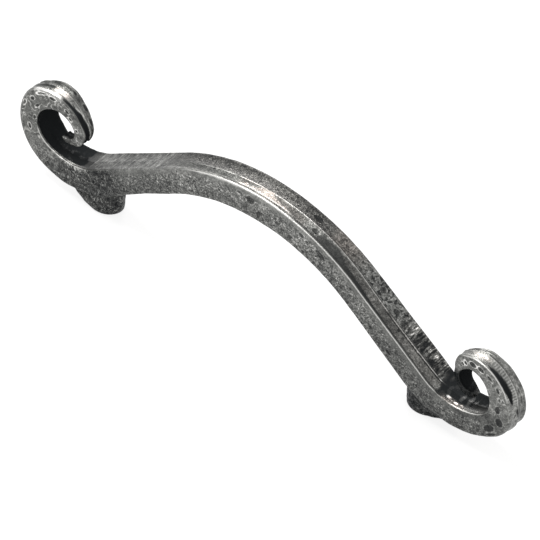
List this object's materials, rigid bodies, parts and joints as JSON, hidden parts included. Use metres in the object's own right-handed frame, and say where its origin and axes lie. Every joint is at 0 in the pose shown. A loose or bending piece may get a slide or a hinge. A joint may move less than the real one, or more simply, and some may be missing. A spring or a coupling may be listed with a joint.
{
  "type": "bar pull",
  "caption": "Cast bar pull for a drawer or cabinet door: a bowed, fluted bar with ends curled into scrolls, on short tapped posts.",
  "frame": {"origin": "on the mounting plane, midway between the two fixing holes", "axes": "+X along the bar, +Z away from the drawer front, +Y across the bar"},
  "size_m": [0.1476, 0.0082, 0.0349],
  "materials": {
    "aged_cast_metal": "hand-worked casting with a grained skin, dark patina in its hollows and bright worn edges"
  },
  "bodies": {
    "root": {"pull": "aged_cast_metal"}
  },
  "joints": []
}
